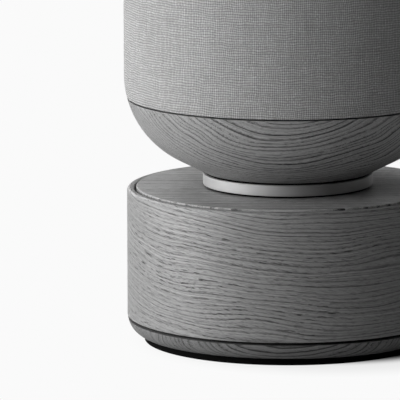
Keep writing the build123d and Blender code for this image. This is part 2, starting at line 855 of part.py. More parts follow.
def build_cone(name, seat, size):
    """Moving diaphragm: flat glue rim, straight cone, domed middle and the voice-coil former."""
    rim_inner = size.cone_radius - size.lip
    dome_radius = size.coil_radius + former_wall
    neck = size.flange - size.neck_depth
    with BuildPart() as cone:
        with BuildSketch(seat.section):
            with BuildLine():
                front = Polyline(
                    (size.cone_radius, size.flange), (rim_inner, size.flange), (dome_radius, neck)
                )
                dome = dome_arc(dome_radius, neck, dust_dome_rise)
                dome_back = dome_arc(dome_radius, neck, dust_dome_rise, diaphragm_skin)
                Line(dome @ 1, dome_back @ 1)
                Polyline(
                    dome_back @ 0,
                    (rim_inner, size.flange - diaphragm_skin),
                    (size.cone_radius, size.flange - diaphragm_skin),
                    front @ 0,
                )
            make_face()
            with BuildLine():
                Polyline(
                    (size.coil_radius, neck),
                    (size.coil_radius, neck - size.coil_length),
                    (size.coil_radius - former_wall, neck - size.coil_length),
                    (size.coil_radius - former_wall, neck),
                    close=True,
                )
            make_face()
        revolve(axis=seat.axis)
    write(cone, f"{name}_cone")


def build_surround(name, seat, size):
    """Half-roll rubber surround, glued on the cone's rim and on the basket's flange."""
    lip_inner = size.cone_radius - size.lip
    roll_middle = (size.cone_radius + size.opening + surround_skin) / 2
    roll_radius = (size.opening + surround_skin - size.cone_radius) / 2
    outer_roll = roll_radius + surround_skin
    lip_outer = size.opening + surround_skin + size.lip
    lip_reach = sqrt(outer_roll**2 - surround_skin**2)
    base = size.flange
    with BuildPart() as surround:
        with BuildSketch(seat.section):
            with BuildLine():
                Line((lip_inner, base), (roll_middle - roll_radius, base))
                ThreePointArc(
                    (roll_middle - roll_radius, base),
                    (roll_middle, base + roll_radius),
                    (roll_middle + roll_radius, base),
                )
                Polyline(
                    (roll_middle + roll_radius, base),
                    (lip_outer, base),
                    (lip_outer, base + surround_skin),
                    (roll_middle + lip_reach, base + surround_skin),
                )
                ThreePointArc(
                    (roll_middle + lip_reach, base + surround_skin),
                    (roll_middle, base + outer_roll),
                    (roll_middle - lip_reach, base + surround_skin),
                )
                Polyline(
                    (roll_middle - lip_reach, base + surround_skin),
                    (lip_inner, base + surround_skin),
                    (lip_inner, base),
                )
            make_face()
        revolve(axis=seat.axis)
    write(surround, f"{name}_surround")


def build_spider(name, seat, size):
    """Corrugated spider between the voice-coil former and the basket's ledge."""
    floor = size.flange - size.ledge_depth
    inner = size.coil_radius + coil_clearance / 2
    flat = size.ledge_radius - size.ledge_width - coil_clearance
    outer = size.ledge_radius - coil_clearance
    pitch = (flat - inner) / (2 * spider_waves)
    with BuildPart() as spider:
        with BuildSketch(seat.section):
            with BuildLine():
                for lift in (0.0, spider_skin):
                    folds = [(inner, floor + lift)]
                    for wave in range(2 * spider_waves):
                        crest = spider_wave_height if wave % 2 == 0 else -spider_wave_height
                        folds.append((inner + (wave + 0.5) * pitch, floor + lift + crest))
                    Polyline(*folds, (flat, floor + lift))
                Line((inner, floor), (inner, floor + spider_skin))
                Polyline(
                    (flat, floor), (outer, floor), (outer, floor + spider_skin), (flat, floor + spider_skin)
                )
            make_face()
        revolve(axis=seat.axis)
    write(spider, f"{name}_spider")


def build_ring_motor(name, seat, size):
    """Ferrite motor: front plate, ring magnet, and a yoke whose pole stands in the coil."""
    plate_front = size.flange - size.back_depth - size.basket_wall
    plate_back = plate_front - size.plate_thickness
    magnet_back = plate_back - size.magnet_thickness
    gap_radius = size.coil_radius + coil_clearance
    pole_radius = size.coil_radius - former_wall - coil_clearance
    with BuildPart() as front_plate:
        with BuildSketch(seat.face.offset(plate_back)):
            Circle(size.plate_radius)
            Circle(gap_radius, mode=Mode.SUBTRACT)
        extrude(amount=size.plate_thickness)
    write(front_plate, f"{name}_front_plate")
    with BuildPart() as magnet:
        with BuildSketch(seat.face.offset(magnet_back)):
            Circle(size.magnet_radius)
            Circle(size.magnet_bore, mode=Mode.SUBTRACT)
        extrude(amount=size.magnet_thickness)
    write(magnet, f"{name}_magnet")
    with BuildPart() as yoke:
        with BuildSketch(seat.face.offset(magnet_back)):
            Circle(size.yoke_radius)
        extrude(amount=-size.yoke_thickness)
        with BuildSketch(seat.face.offset(magnet_back)):
            Circle(pole_radius)
        extrude(amount=plate_front - magnet_back)
        with BuildSketch(seat.face.offset(plate_front)):
            Circle(size.vent_radius)
        extrude(amount=magnet_back - plate_front - size.yoke_thickness, mode=Mode.SUBTRACT)
    write(yoke, f"{name}_yoke")


def build_cup_motor(name, seat, size):
    """Neodymium motor in a steel cup, with a ring gap for the voice coil."""
    gap_outer = size.coil_radius + coil_clearance
    gap_inner = size.coil_radius - former_wall - coil_clearance
    with BuildPart() as motor:
        with BuildSketch(seat.face.offset(size.motor_front)):
            Circle(size.motor_radius)
        extrude(amount=-size.motor_depth)
        fillet(motor.faces().sort_by(seat.axis)[0].edges(), edge_break)
        with BuildSketch(seat.face.offset(size.motor_front)):
            Circle(gap_outer)
            Circle(gap_inner, mode=Mode.SUBTRACT)
        extrude(amount=-size.gap_depth, mode=Mode.SUBTRACT)
    write(motor, f"{name}_motor")


# Woofers
for driver_name, driver_place in woofer_seats.items():
    build_frame(driver_name, driver_place, woofer)
    build_cone(driver_name, driver_place, woofer)
    build_surround(driver_name, driver_place, woofer)
    build_spider(driver_name, driver_place, woofer)
    build_ring_motor(driver_name, driver_place, woofer)

# Full-range drivers
for driver_name, driver_place in full_range_seats.items():
    build_frame(driver_name, driver_place, full_range)
    build_cone(driver_name, driver_place, full_range)
    build_surround(driver_name, driver_place, full_range)
    build_cup_motor(driver_name, driver_place, full_range)

# Tweeter: face plate with a short horn, dome with its coil, cup motor
tweeter_throat = tweeter.coil_radius + tweeter_throat_clearance
with BuildPart() as tweeter_plate:
    with BuildSketch(tweeter_seat.section):
        with BuildLine():
            Polyline(
                (tweeter_throat, 0),
                (tweeter.frame_radius, 0),
                (tweeter.frame_radius, tweeter.flange),
                (tweeter_throat + tweeter.horn_flare, tweeter.flange),
                close=True,
            )
        make_face()
    revolve(axis=tweeter_seat.axis)
    with BuildSketch(tweeter_seat.face):
        with PolarLocations(tweeter.screw_circle, tweeter.screw_count, start_angle=driver_screw_angle):
            Circle(driver_screw.radius + screw_clearance)
    extrude(amount=tweeter.flange, mode=Mode.SUBTRACT)
write(tweeter_plate, "tweeter_face_plate")

with BuildPart() as tweeter_dome:
    with BuildSketch(tweeter_seat.section):
        with BuildLine():
            dome_front = dome_arc(tweeter.coil_radius, tweeter_dome_skin, tweeter.dome_rise)
            dome_back = dome_arc(
                tweeter.coil_radius, tweeter_dome_skin, tweeter.dome_rise, tweeter_dome_skin
            )
            Line(dome_front @ 1, dome_back @ 1)
            Line(dome_front @ 0, dome_back @ 0)
        make_face()
        with BuildLine():
            Polyline(
                (tweeter.coil_radius, tweeter_dome_skin),
                (tweeter.coil_radius, tweeter_dome_skin - tweeter.coil_length),
                (tweeter.coil_radius - tweeter_dome_skin, tweeter_dome_skin - tweeter.coil_length),
                (tweeter.coil_radius - tweeter_dome_skin, tweeter_dome_skin),
                close=True,
            )
        make_face()
    revolve(axis=tweeter_seat.axis)
write(tweeter_dome, "tweeter_dome")
build_cup_motor("tweeter", tweeter_seat, tweeter)

# Screws of all the drivers: one kind, into the cabinet's wall
with BuildPart() as driver_screws:
    for seat, size in mountings:
        with BuildSketch(seat.face.offset(size.flange)):
            with PolarLocations(size.screw_circle, size.screw_count, start_angle=driver_screw_angle):
                Circle(driver_screw.head_radius)
        extrude(amount=driver_screw.head_height)
        with BuildSketch(seat.face.offset(size.flange)):
            with PolarLocations(size.screw_circle, size.screw_count, start_angle=driver_screw_angle):
                Circle(driver_screw.radius)
        extrude(amount=-driver_screw.length)
write(driver_screws, "driver_screws")

# Frame under the touch plate: a tray with a wall and board bosses
top_frame_radius = body_radius - top_round - top_plate_gap / 2
touch_board_radius = top_frame_radius - top_frame_wall - touch_board_clearance
touch_board_bottom = top_plate_bottom - touch_board_thickness
with BuildPart() as top_frame:
    with BuildSketch(Plane.XY.offset(top_frame_bottom)):
        Circle(top_frame_radius)
    extrude(amount=top_frame_height)
    with BuildSketch(Plane.XY.offset(top_frame_bottom + top_frame_floor)):
        Circle(top_frame_radius - top_frame_wall)
    extrude(amount=top_frame_height - top_frame_floor, mode=Mode.SUBTRACT)
    with BuildSketch(Plane.XY.offset(top_frame_bottom + top_frame_floor)):
        with PolarLocations(touch_boss_circle, touch_boss_count):
            Circle(touch_boss_radius)
    extrude(amount=touch_board_bottom - top_frame_bottom - top_frame_floor)
write(top_frame, "top_frame")

# Touch and microphone board
with BuildPart() as touch_board:
    with BuildSketch(Plane.XY.offset(touch_board_bottom)):
        Circle(touch_board_radius)
    extrude(amount=touch_board_thickness)
write(touch_board, "touch_board")

# Dished metal touch plate with its microphone holes
top_plate_radius = body_radius - top_round - top_plate_gap
with BuildPart() as top_plate:
    with BuildSketch(Plane.XZ):
        with BuildLine():
            plate_edge = Polyline(
                (0, top_plate_bottom),
                (top_plate_radius, top_plate_bottom),
                (top_plate_radius, top_plate_top - edge_break),
                (top_plate_radius - edge_break, top_plate_top),
            )
            dish = Spline(
                plate_edge @ 1,
                (0, top_plate_top - top_plate_dish),
                tangents=((-1, -3 * top_plate_dish / top_plate_radius), (-1, 0)),
            )
            Line(dish @ 1, plate_edge @ 0)
        make_face()
    revolve(axis=Axis.Z)
    with BuildSketch(Plane.XY.offset(top_plate_bottom)):
        with PolarLocations(microphone_circle, microphone_count):
            Circle(microphone_hole_radius)
    extrude(amount=top_plate_thickness, mode=Mode.SUBTRACT)
write(top_plate, "top_plate")


def on_panel(x):
    """Plane at the panel's face, looking out of the back, centred at a place across the panel."""
    return Plane(origin=(x, panel_face, panel_height), x_dir=(-1, 0, 0), z_dir=(0, 1, 0))


# Connector panel: a slot-shaped plate with a flange behind the shell's wall
with BuildPart() as connector_panel:
    with BuildSketch(rear_plane.offset(panel_seat)):
        SlotOverall(panel_window_width - 2 * panel_clearance, panel_window_height - 2 * panel_clearance)
    extrude(amount=panel_thickness)
    with BuildSketch(rear_plane.offset(panel_back)):
        SlotOverall(flange_width, flange_height)
    extrude(amount=panel_flange_thickness)
    with BuildSketch(on_panel(inlet_x)):
        Rectangle(inlet_width + 2 * panel_clearance, inlet_height + 2 * panel_clearance)
    with BuildSketch(on_panel(network_x)):
        Rectangle(network_width + 2 * panel_clearance, network_height + 2 * panel_clearance)
    with BuildSketch(on_panel(line_in_x)):
        Circle(line_in_collar_radius + panel_clearance)
    with BuildSketch(on_panel(button_x)):
        Circle(button_radius + button_clearance)
    with BuildSketch(on_panel(slider_x)):
        Rectangle(slider_width + slider_travel + 2 * slider_clearance, slider_height + 2 * slider_clearance)
    extrude(amount=-panel_thickness - panel_flange_thickness, mode=Mode.SUBTRACT)
    with BuildSketch(rear_plane.offset(panel_back)):
        with Locations(*panel_screw_spots):
            Circle(panel_screw_radius + screw_clearance)
    extrude(amount=panel_flange_thickness, mode=Mode.SUBTRACT)
write(connector_panel, "connector_panel")

# Screws of the panel, driven from inside
with BuildPart() as panel_screws:
    with BuildSketch(rear_plane.offset(panel_back)):
        with Locations(*panel_screw_spots):
            Circle(panel_screw_head)
    extrude(amount=-panel_screw_head_height)
    with BuildSketch(rear_plane.offset(panel_back)):
        with Locations(*panel_screw_spots):
            Circle(panel_screw_radius)
    extrude(amount=panel_flange_thickness + panel_screw_bite)
write(panel_screws, "panel_screws")

# Mains inlet with its two pins
with BuildPart() as mains_inlet:
    with BuildSketch(on_panel(inlet_x)):
        Rectangle(inlet_width, inlet_height)
    extrude(amount=-connector_board_depth)
    with BuildSketch(on_panel(inlet_x)):
        SlotOverall(inlet_cavity_width, inlet_cavity_height)
    extrude(amount=-inlet_cavity_depth, mode=Mode.SUBTRACT)
write(mains_inlet, "mains_inlet")

with BuildPart() as mains_pins:
    with BuildSketch(on_panel(inlet_x).offset(-inlet_cavity_depth)):
        with GridLocations(inlet_pin_pitch, 0, 2, 1):
            Circle(inlet_pin_radius)
    extrude(amount=inlet_pin_length)
    fillet(mains_pins.faces().sort_by(Axis.Y)[-2:].edges(), inlet_pin_radius / 2)
write(mains_pins, "mains_pins")

# Network socket with its latch key
with BuildPart() as network_socket:
    with BuildSketch(on_panel(network_x)):
        Rectangle(network_width, network_height)
    extrude(amount=-connector_board_depth)
    with BuildSketch(on_panel(network_x)):
        Rectangle(network_cavity_width, network_cavity_height)
        with Locations((0, -(network_cavity_height + network_key_height) / 2)):
            Rectangle(network_key_width, network_key_height)
    extrude(amount=-network_cavity_depth, mode=Mode.SUBTRACT)
write(network_socket, "network_socket")

# Line-in socket: a collar through the panel in front of its body
with BuildPart() as line_in_socket:
    with BuildSketch(on_panel(line_in_x).offset(line_in_collar_proud)):
        Circle(line_in_collar_radius)
    extrude(amount=-line_in_collar_proud - panel_thickness - panel_flange_thickness)
    with BuildSketch(on_panel(line_in_x).offset(-panel_thickness - panel_flange_thickness)):
        Rectangle(line_in_body, line_in_body)
    extrude(amount=panel_thickness + panel_flange_thickness - connector_board_depth)
    with BuildSketch(on_panel(line_in_x).offset(line_in_collar_proud)):
        Circle(line_in_bore_radius)
    extrude(amount=-line_in_bore_depth, mode=Mode.SUBTRACT)
write(line_in_socket, "line_in_socket")

# Setup button, kept in by its flange, and the travel that it has to its switch
panel_depth = panel_thickness + panel_flange_thickness
switch_front = button_travel + button_clearance / 2
with BuildPart() as setup_button:
    with BuildSketch(on_panel(button_x).offset(button_proud)):
        Circle(button_radius)
    extrude(amount=-button_proud - panel_depth - button_clearance)
    fillet(setup_button.faces().sort_by(Axis.Y)[-1].edges(), edge_break)
    with BuildSketch(on_panel(button_x).offset(-panel_depth - button_clearance)):
        Circle(button_radius + button_flange)
    extrude(amount=-button_flange)
write(setup_button, "setup_button")

# Mute slider, kept in by its flange
with BuildPart() as mute_slider:
    slider_plane = on_panel(slider_x - slider_travel / 2)
    with BuildSketch(slider_plane.offset(slider_proud)):
        Rectangle(slider_width, slider_height)
    extrude(amount=-slider_proud - panel_depth - slider_clearance)
    fillet(mute_slider.faces().sort_by(Axis.Y)[-1].edges(), edge_break)
    with BuildSketch(slider_plane.offset(-panel_depth - slider_clearance)):
        Rectangle(slider_width + 2 * slider_flange, slider_height + 2 * slider_flange)
    extrude(amount=-slider_flange)
write(mute_slider, "mute_slider")

# Connector board behind the sockets, with the switch bodies that the button and slider work
with BuildPart() as connector_board:
    with BuildSketch(rear_plane.offset(panel_face - connector_board_depth)):
        Rectangle(connector_board_width, connector_board_height)
    extrude(amount=-connector_board_thickness)
    button_back = panel_depth + button_clearance + button_flange + switch_front
    with BuildSketch(on_panel(button_x).offset(-button_back)):
        Rectangle(switch_size, switch_size)
    extrude(amount=button_back - connector_board_depth)
    slider_back = panel_depth + 2 * slider_clearance + slider_flange
    with BuildSketch(on_panel(slider_x).offset(-slider_back)):
        Rectangle(switch_size + slider_travel, switch_size)
    extrude(amount=slider_back - connector_board_depth)
write(connector_board, "connector_board")

# Power board on the tray's standoffs
with BuildPart() as power_board:
    with BuildSketch(Plane.XY.offset(power_board_bottom)):
        RectangleRounded(power_board_length, power_board_width, standoff_radius)
    extrude(amount=board_thickness)
write(power_board, "power_board")

# Transformer: an E-core around a rounded winding
with BuildPart() as transformer:
    with BuildSketch(Plane.XY.offset(power_board_top)):
        with Locations((transformer_x, 0)):
            Rectangle(transformer_length, transformer_width - 2 * transformer_core)
    extrude(amount=board_space - transformer_clearance)
    with BuildSketch(Plane.XY.offset(power_board_top + transformer_core)):
        with Locations((transformer_x, 0)):
            RectangleRounded(
                transformer_length - 2 * transformer_core, transformer_width, transformer_coil_round
            )
    extrude(amount=board_space - transformer_clearance - 2 * transformer_core)
write(transformer, "transformer")

# Filter capacitors
with BuildPart() as filter_capacitors:
    with BuildSketch(Plane.XY.offset(power_board_top)):
        with Locations((capacitor_x, 0)):
            with GridLocations(0, capacitor_pitch, 1, capacitor_count):
                Circle(capacitor_radius)
    extrude(amount=board_space - capacitor_clearance)
    fillet(filter_capacitors.faces().sort_by(Axis.Z)[-capacitor_count:].edges(), edge_break)
write(filter_capacitors, "filter_capacitors")

# Amplifier board on the tray's tall bosses
with BuildPart() as amplifier_board:
    with BuildSketch(Plane.XY.offset(amplifier_bottom)):
        RectangleRounded(amplifier_board_length, amplifier_board_width, tall_boss_radius)
    extrude(amount=board_thickness)
write(amplifier_board, "amplifier_board")

# Finned heat sink of the amplifier
fin_pitch = (heat_sink_width - heat_sink_fin) / (heat_sink_fin_count - 1)
with BuildPart() as heat_sink:
    with BuildSketch(Plane.XY.offset(amplifier_top)):
        with Locations((heat_sink_x, 0)):
            Rectangle(heat_sink_length, heat_sink_width)
    extrude(amount=heat_sink_base)
    with BuildSketch(Plane.XY.offset(amplifier_top + heat_sink_base)):
        with Locations((heat_sink_x, 0)):
            with GridLocations(0, fin_pitch, 1, heat_sink_fin_count):
                Rectangle(heat_sink_length, heat_sink_fin)
    extrude(amount=heat_sink_fin_height)
write(heat_sink, "heat_sink")

# Wire harness from the amplifier up the neck into the cabinet's floor
with BuildPart() as wire_harness:
    with BuildLine():
        harness_path = FilletPolyline(
            (harness_x, 0, amplifier_top),
            (harness_x, 0, shell_ledge - harness_lead),
            (0, 0, shell_ledge + harness_join),
            (0, 0, bowl_ledge + cabinet_wall),
            radius=harness_bends,
        )
    with BuildSketch(Plane(origin=harness_path @ 0, z_dir=harness_path % 0)):
        Circle(harness_radius)
    sweep()
write(wire_harness, "wire_harness")
harness_volume = pi * harness_radius**2 * harness_path.length
print("harness volume against section times length:", wire_harness.part.volume / harness_volume)
print("harness bend radii:", harness_bends)
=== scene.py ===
import json
from math import cos, radians, sin, sqrt

import bmesh
import bpy
import numpy as np
from mathutils import Matrix, Vector


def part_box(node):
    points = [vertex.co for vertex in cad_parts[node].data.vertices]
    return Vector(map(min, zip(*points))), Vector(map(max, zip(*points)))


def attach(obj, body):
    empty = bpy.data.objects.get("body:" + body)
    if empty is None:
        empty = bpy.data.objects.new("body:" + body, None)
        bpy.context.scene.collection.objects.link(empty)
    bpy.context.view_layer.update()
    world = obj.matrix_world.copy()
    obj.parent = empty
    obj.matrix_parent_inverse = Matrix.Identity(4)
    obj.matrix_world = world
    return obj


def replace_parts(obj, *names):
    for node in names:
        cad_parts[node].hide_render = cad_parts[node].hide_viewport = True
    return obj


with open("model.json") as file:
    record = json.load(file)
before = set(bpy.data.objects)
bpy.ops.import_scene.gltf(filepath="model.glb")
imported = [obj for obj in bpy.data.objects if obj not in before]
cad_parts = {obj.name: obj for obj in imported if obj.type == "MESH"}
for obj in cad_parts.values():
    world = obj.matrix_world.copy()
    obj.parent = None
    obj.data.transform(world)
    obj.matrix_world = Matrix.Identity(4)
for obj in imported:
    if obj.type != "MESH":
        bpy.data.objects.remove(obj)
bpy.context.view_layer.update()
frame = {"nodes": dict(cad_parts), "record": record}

# Foot: a black rubber ring, moulded with soft edges and glued into a groove under the trim ring.
# It carries the whole speaker and shows only as a thin dark line.


def rounded(corners, steps=6):
    """Closed outline through corners given as (radius, height, rounding).

    Each corner becomes an arc of its rounding that touches both sides of the corner.
    """
    corners = np.array(corners, float)
    place, rounding = corners[:, :2], corners[:, 2:]
    back = np.roll(place, 1, axis=0) - place
    ahead = np.roll(place, -1, axis=0) - place
    back /= np.linalg.norm(back, axis=1, keepdims=True)
    ahead /= np.linalg.norm(ahead, axis=1, keepdims=True)
    half = np.arccos((back * ahead).sum(axis=1, keepdims=True)) / 2
    middle = (back + ahead) / np.linalg.norm(back + ahead, axis=1, keepdims=True)
    centre = place + middle * rounding / np.sin(half)
    first = place + back * rounding / np.tan(half) - centre
    last = place + ahead * rounding / np.tan(half) - centre
    sweep = (np.pi - 2 * half)[:, None, :]
    step = np.linspace(0, 1, steps)[None, :, None]
    arcs = np.sin((1 - step) * sweep) * first[:, None, :] + np.sin(step * sweep) * last[:, None, :]
    return (centre[:, None, :] + arcs / np.sin(sweep)).reshape(-1, 2)


def turned(name, outline, turns=360):
    """A turned piece: a closed outline of (radius, height), carried once around the Z axis.

    Point i at angle a lies at (r_i cos a, r_i sin a, z_i). Its UV map counts metres: U is the way round
    at the outline's largest radius, and V is the way along the outline.
    """
    outline = np.asarray(outline, float)
    count = len(outline)
    angle = np.linspace(0, 2 * np.pi, turns, endpoint=False)
    radius, height = outline.T
    points = np.stack(
        [
            np.outer(np.cos(angle), radius),
            np.outer(np.sin(angle), radius),
            np.broadcast_to(height, (turns, count)),
        ],
        axis=-1,
    )
    index = np.arange(turns * count).reshape(turns, count)
    beside = np.roll(index, -1, axis=0)
    faces = np.stack([index, beside, np.roll(beside, -1, axis=1), np.roll(index, -1, axis=1)], axis=-1)
    mesh = bpy.data.meshes.new(name)
    mesh.from_pydata(points.reshape(-1, 3), [], faces.reshape(-1, 4))
    side = np.linalg.norm(np.roll(outline, -1, axis=0) - outline, axis=1)
    along = np.concatenate([[0], np.cumsum(side)])
    around = np.linspace(0, 2 * np.pi * radius.max(), turns + 1)
    u = np.stack([around[:-1], around[1:], around[1:], around[:-1]], axis=-1)[:, None, :]
    v = np.stack([along[:-1], along[:-1], along[1:], along[1:]], axis=-1)[None, :, :]
    uv = np.stack(np.broadcast_arrays(u, v), axis=-1)
    mesh.uv_layers.new(name="UVMap").data.foreach_set("uv", uv.astype(np.float32).ravel())
    return settled(mesh)


sharp_from = radians(35)


def settled(mesh):
    """Puts a mesh in the scene as a piece of the speaker's body, smooth except over sharp edges."""
    mesh.shade_smooth()
    mesh.set_sharp_from_angle(angle=sharp_from)
    piece = bpy.data.objects.new(mesh.name, mesh)
    bpy.context.scene.collection.objects.link(piece)
    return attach(piece, "speaker_body")


def add(tree, kind, feeds, **settings):
    """Adds a shader node with its settings, and feeds its inputs from values or from other sockets."""
    made = tree.nodes.new(kind)
    for name, value in settings.items():
        setattr(made, name, value)
    for name, feed in feeds.items():
        if isinstance(feed, bpy.types.NodeSocket):
            tree.links.new(feed, made.inputs[name])
        else:
            made.inputs[name].default_value = feed
    return made


def sums(tree, operation, *feeds):
    """One arithmetic step on numbers or sockets."""
    return add(tree, "ShaderNodeMath", dict(enumerate(feeds)), operation=operation).outputs[0]


def vectors(tree, operation, *feeds):
    """One step of vector arithmetic on vectors or sockets."""
    return add(tree, "ShaderNodeVectorMath", dict(enumerate(feeds)), operation=operation).outputs[0]


def noise(tree, place, scale, detail=2.0):
    """Noise of about 0 to 1, stretched by a scale along each axis in features per metre."""
    stretched = vectors(tree, "MULTIPLY", place, scale)
    return add(tree, "ShaderNodeTexNoise", {"Vector": stretched, "Scale": 1.0, "Detail": detail})


def effect(name, inputs):
    """A shared node group with these inputs, and with colour, roughness and height outputs."""
    tree = bpy.data.node_groups.new(name, "ShaderNodeTree")
    for socket, kind in inputs.items():
        tree.interface.new_socket(socket, in_out="INPUT", socket_type=f"NodeSocket{kind}")
    for socket, kind in {"Color": "Color", "Roughness": "Float", "Height": "Float"}.items():
        tree.interface.new_socket(socket, in_out="OUTPUT", socket_type=f"NodeSocket{kind}")
    return tree, tree.nodes.new("NodeGroupInput").outputs, tree.nodes.new("NodeGroupOutput").inputs


def finished(name, shared, feeds, relief, **uniform):
    """A material whose colour, roughness and relief come from a shared effect; the rest is uniform."""
    made = bpy.data.materials.new(name)
    made.use_nodes = True
    tree = made.node_tree
    shader = tree.nodes["Principled BSDF"]
    for socket, value in uniform.items():
        shader.inputs[socket.replace("_", " ")].default_value = value
    feeds = {socket: feed(tree) if callable(feed) else feed for socket, feed in feeds.items()}
    painted = add(tree, "ShaderNodeGroup", feeds, node_tree=shared).outputs
    bump = add(tree, "ShaderNodeBump", {"Height": painted["Height"], "Distance": relief})
    tree.links.new(painted["Color"], shader.inputs["Base Color"])
    tree.links.new(painted["Roughness"], shader.inputs["Roughness"])
    tree.links.new(bump.outputs["Normal"], shader.inputs["Normal"])
    return made


def wears(piece, material):
    """Gives a piece its one material."""
    piece.data.materials.clear()
    piece.data.materials.append(material)


# Moulded grain: fine noise that varies a plain colour and its gloss, with a pitted relief
moulded, given, result = effect(
    "moulded_grain", {"Color": "Color", "Roughness": "Float", "Grain": "Float"}
)
object_place = add(moulded, "ShaderNodeTexCoord", {}).outputs["Object"]
grain = add(
    moulded, "ShaderNodeTexNoise", {"Vector": object_place, "Scale": given["Grain"], "Detail": 3.0}
).outputs[0]
cloud = noise(moulded, object_place, (60, 60, 60)).outputs[0]
shade = sums(moulded, "MULTIPLY_ADD", grain, 0.5, sums(moulded, "MULTIPLY_ADD", cloud, 0.3, 0.6))
moulded.links.new(
    add(
        moulded, "ShaderNodeVectorMath", {0: given["Color"], "Scale": shade}, operation="SCALE"
    ).outputs[0],
    result["Color"],
)
gloss = sums(moulded, "MULTIPLY_ADD", cloud, 0.2, -0.1)
moulded.links.new(sums(moulded, "ADD", given["Roughness"], gloss), result["Roughness"])
moulded.links.new(grain, result["Height"])

foot_low, foot_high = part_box("foot_ring")
foot_width = 0.014
foot_edge = 0.0006
foot = turned(
    "rubber_foot",
    rounded(
        [
            (foot_high.x - foot_width, foot_low.z, foot_edge),
            (foot_high.x, foot_low.z, foot_edge),
            (foot_high.x, foot_high.z, foot_edge),
            (foot_high.x - foot_width, foot_high.z, foot_edge),
        ]
    ),
)
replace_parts(foot, "foot_ring")
# The rubber's near-black colour is partly its own black and partly painted shade from under the trim
# ring's bulge.
foot_rubber = finished(
    "foot_rubber",
    moulded,
    {"Color": (0.003, 0.003, 0.003, 1), "Roughness": 0.85, "Grain": 3000.0},
    relief=0.0001,
    Specular_IOR_Level=0.06,
)
wears(foot, foot_rubber)

# Trim ring: an oak ring turned with a bulged side that draws in towards the foot.
# The grain of the board that it was cut from runs left to right, as in all the oak pieces.


def bulge(start, end, radius, steps=24):
    """Points of an arc of that radius from start to end, bulged to the right of that way."""
    start, end = np.array(start), np.array(end)
    chord = end - start
    half = np.linalg.norm(chord) / 2
    left = np.array([-chord[1], chord[0]]) / (2 * half)
    centre = (start + end) / 2 + left * sqrt(radius**2 - half**2)
    turn = np.linspace(np.arctan2(*(start - centre)[::-1]), np.arctan2(*(end - centre)[::-1]), steps)
    return centre + radius * np.stack([np.cos(turn), np.sin(turn)], axis=-1)


# Oak: growth rings lie round a pith line along the fibres, which sag and wander. Each ring starts with a
# dark edge and rows of open pores, drawn out along the fibres. Fine fibres and streaks run through it all.
oak, given, result = effect(
    "oak_grain",
    {
        "Place": "Vector", "Tone": "Float", "Pith Y": "Float", "Pith Z": "Float", "Ring Width": "Float",
        "Ring Depth": "Float", "Pore Length": "Float", "Pore Width": "Float", "Wander": "Vector",
        "Sweep": "Float", "Seed": "Float",
    },
)
board_middle = 0.05
along = add(oak, "ShaderNodeSeparateXYZ", {0: given["Place"]}).outputs["X"]
along = sums(oak, "ADD", along, -board_middle)
sag = sums(oak, "MULTIPLY", sums(oak, "MULTIPLY", along, along), given["Sweep"])
swept = vectors(oak, "SUBTRACT", given["Place"], add(oak, "ShaderNodeCombineXYZ", {"Z": sag}).outputs[0])
seeded = vectors(oak, "ADD", swept, given["Seed"])
wander = vectors(oak, "SUBTRACT", noise(oak, seeded, (6, 20, 20)).outputs[1], (0.5, 0.5, 0.5))
wander = vectors(oak, "MULTIPLY", wander, given["Wander"])
ripple = vectors(oak, "SUBTRACT", noise(oak, seeded, (45, 150, 150)).outputs[1], (0.5, 0.5, 0.5))
ripple = vectors(oak, "MULTIPLY", vectors(oak, "MULTIPLY", ripple, given["Wander"]), (0, 0.05, 0.05))
bent = vectors(oak, "ADD", vectors(oak, "ADD", swept, wander), ripple)

# Rings: counted from the pith outwards, of uneven width, each with a tone of its own
pith = add(oak, "ShaderNodeCombineXYZ", {"Y": given["Pith Y"], "Z": given["Pith Z"]}).outputs[0]
across = vectors(oak, "MULTIPLY", vectors(oak, "SUBTRACT", bent, pith), (0, 1, 1))
distance = add(oak, "ShaderNodeVectorMath", {0: across}, operation="LENGTH").outputs["Value"]
even = sums(oak, "DIVIDE", distance, given["Ring Width"])
uneven = add(oak, "ShaderNodeTexNoise", {"W": even, "Scale": 0.37, "Detail": 1.0}, noise_dimensions="1D")
rings = sums(oak, "MULTIPLY_ADD", uneven.outputs[0], 1.1, even)
ring_tone = add(
    oak, "ShaderNodeTexWhiteNoise", {"W": sums(oak, "FLOOR", rings)}, noise_dimensions="1D"
).outputs["Value"]
phase = sums(oak, "FRACT", rings)
grained = vectors(oak, "ADD", bent, given["Seed"])


def drawn_out(scale, detail):
    """Noise in cells drawn out along the fibres, with each row of cells shifted against the next."""
    cells = vectors(oak, "MULTIPLY", grained, scale)
    shifted = add(oak, "ShaderNodeVectorMath", {0: cells, 1: (1, 0.37, 0.73)}, operation="DOT_PRODUCT")
    cell = add(oak, "ShaderNodeSeparateXYZ", {0: cells}).outputs
    place = add(
        oak, "ShaderNodeCombineXYZ", {"X": shifted.outputs["Value"], "Y": cell["Y"], "Z": cell["Z"]}
    ).outputs[0]
    return add(oak, "ShaderNodeTexNoise", {"Vector": place, "Scale": 1.0, "Detail": detail}).outputs[0]


def between(value, none, full):
    """Rises smoothly from 0 at none to 1 at full."""
    return add(
        oak, "ShaderNodeMapRange", {"Value": value, "From Min": none, "From Max": full},
        interpolation_type="SMOOTHSTEP",
    ).outputs[0]


# Ring edges: broken here and there, of uneven strength, and fainter towards one end of the board
broken = noise(oak, grained, (22, 260, 260)).outputs[0]
edge = sums(oak, "MULTIPLY", between(phase, 0.4, 0.1), between(broken, 0.25, 0.5))
edge = sums(oak, "MULTIPLY", edge, sums(oak, "MULTIPLY_ADD", ring_tone, 0.6, 0.4))
strength = sums(oak, "MULTIPLY_ADD", between(along, -0.18, -0.03), 0.65, 0.35)
edge = sums(oak, "MULTIPLY", edge, strength)

